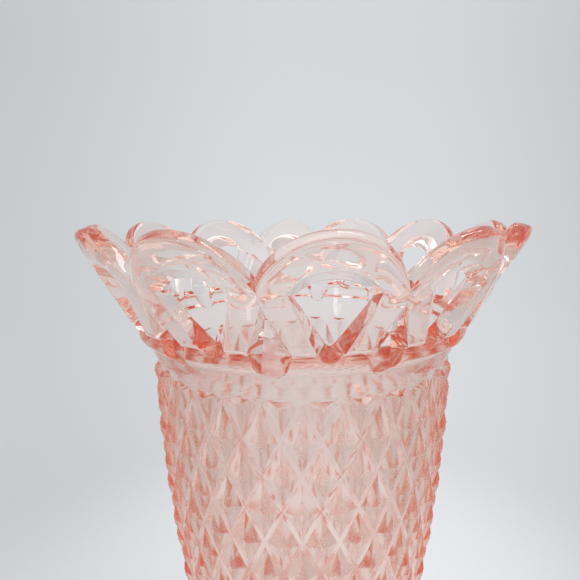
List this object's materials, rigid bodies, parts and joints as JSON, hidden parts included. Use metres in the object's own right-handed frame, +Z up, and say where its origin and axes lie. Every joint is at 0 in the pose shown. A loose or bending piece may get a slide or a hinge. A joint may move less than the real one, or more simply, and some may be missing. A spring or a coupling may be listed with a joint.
{
  "type": "glass bud vase",
  "caption": "Small pressed-glass vase: tapering cup with a diamond-point wall on a plain foot, flaring into an open laced rim with a scalloped edge; holds cut stems in water.",
  "frame": {"origin": "centre of the foot's resting ring, on the surface the vase stands on", "axes": "+Z up along the vase's axis; -Y through the middle of lace_loop_01"},
  "size_m": [0.1088, 0.1088, 0.1267],
  "materials": {
    "foot_glass": "polished",
    "body_glass": "pressed, fire polished",
    "band_glass": "pressed, fire polished",
    "lace_glass": "pressed, fire polished"
  },
  "bodies": {
    "root": {"foot": "foot_glass", "body": "body_glass", "neck_band": "band_glass", "lace_loop_01": "lace_glass", "lace_loop_02": "lace_glass", "lace_loop_03": "lace_glass", "lace_loop_04": "lace_glass", "lace_loop_05": "lace_glass", "lace_loop_06": "lace_glass", "lace_loop_07": "lace_glass", "lace_loop_08": "lace_glass", "lace_loop_09": "lace_glass", "lace_loop_10": "lace_glass", "lace_loop_11": "lace_glass", "lace_loop_12": "lace_glass"}
  },
  "joints": []
}
